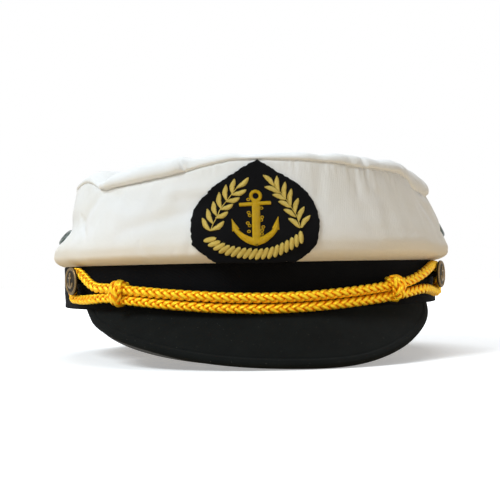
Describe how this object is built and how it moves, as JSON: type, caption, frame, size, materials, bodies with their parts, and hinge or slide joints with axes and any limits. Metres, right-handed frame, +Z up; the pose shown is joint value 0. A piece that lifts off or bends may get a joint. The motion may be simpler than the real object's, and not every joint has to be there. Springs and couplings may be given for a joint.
{
  "type": "peaked cap",
  "caption": "Yachting cap with a padded white crown, black band and visor, anchor badge, gold braided chin cord with sliding knots.",
  "frame": {"origin": "centre of the head opening, in the plane of the band's lower edge", "axes": "+Z up, out of the head opening through the crown; the visor points along -Y; +X is the wearer's left"},
  "size_m": [0.1902, 0.2321, 0.0903],
  "materials": {
    "white_cotton": "white cotton drill, soft and matt",
    "foam": "open-cell upholstery foam laminated to the cloth",
    "buckram": "stiff translucent board",
    "lining_cloth": "thin plain lining",
    "black_band_cloth": "black twill",
    "visor_cloth": "black napped cloth",
    "visor_board": "bent visor board",
    "sweatband": "black leatherette",
    "badge_felt": "black felt",
    "gold_thread": "deep gold satin stitch",
    "pale_thread": "pale gold satin stitch",
    "gold_cord": "golden yellow braided cord",
    "antique_brass": "antique brass, dark in the hollows",
    "green_metal": "dark green enamel"
  },
  "bodies": {
    "cap": {"cap_band": "black_band_cloth", "band_stiffener": "buckram", "sweatband": "sweatband", "visor_board": "visor_board", "visor_top_cover": "visor_cloth", "visor_under_cover": "visor_cloth", "crown_front_panel": "white_cotton", "crown_back_panel": "white_cotton", "crown_top_panel": "white_cotton", "crown_foam_side": "foam", "crown_foam_top": "foam", "front_stay": "buckram", "lining_side": "lining_cloth", "lining_top": "lining_cloth", "badge_patch": "badge_felt", "badge_anchor": "gold_thread", "badge_branch_left": "pale_thread", "badge_branch_right": "pale_thread", "badge_thread_bar": "pale_thread", "eyelets_left": "green_metal", "eyelets_right": "green_metal", "eyelet_washers_left": "green_metal", "eyelet_washers_right": "green_metal"},
    "chin_cord": {"cord_upper": "gold_cord", "cord_lower": "gold_cord"},
    "left_knot": {"knot_left": "gold_cord"},
    "right_knot": {"knot_right": "gold_cord"},
    "left_button": {"button_face_left": "antique_brass", "button_back_left": "antique_brass", "button_nut_left": "antique_brass"},
    "right_button": {"button_face_right": "antique_brass", "button_back_right": "antique_brass", "button_nut_right": "antique_brass"}
  },
  "joints": [
    {"name": "cord_lift", "type": "hinge", "parent": "cap", "child": "chin_cord", "pos_m": [0, -0.05181, 0.0124], "axis": [-1, 0, 0], "range_deg": [0, 10]},
    {"name": "left_knot_slide", "type": "hinge", "parent": "chin_cord", "child": "left_knot", "pos_m": [0, -0.01957, 0.01852], "axis": [0, -0.1865, 0.9825], "range_deg": [0, 17]},
    {"name": "right_knot_slide", "type": "hinge", "parent": "chin_cord", "child": "right_knot", "pos_m": [0, -0.01957, 0.01852], "axis": [0, 0.1865, -0.9825], "range_deg": [0, 13]},
    {"name": "left_button_turn", "type": "hinge", "parent": "cap", "child": "left_button", "pos_m": [-0.07731, -0.0506, 0.0124], "axis": [-0.8987, -0.4385, 0], "continuous": true},
    {"name": "right_button_turn", "type": "hinge", "parent": "cap", "child": "right_button", "pos_m": [0.07731, -0.0506, 0.0124], "axis": [0.8987, -0.4385, 0], "continuous": true}
  ]
}
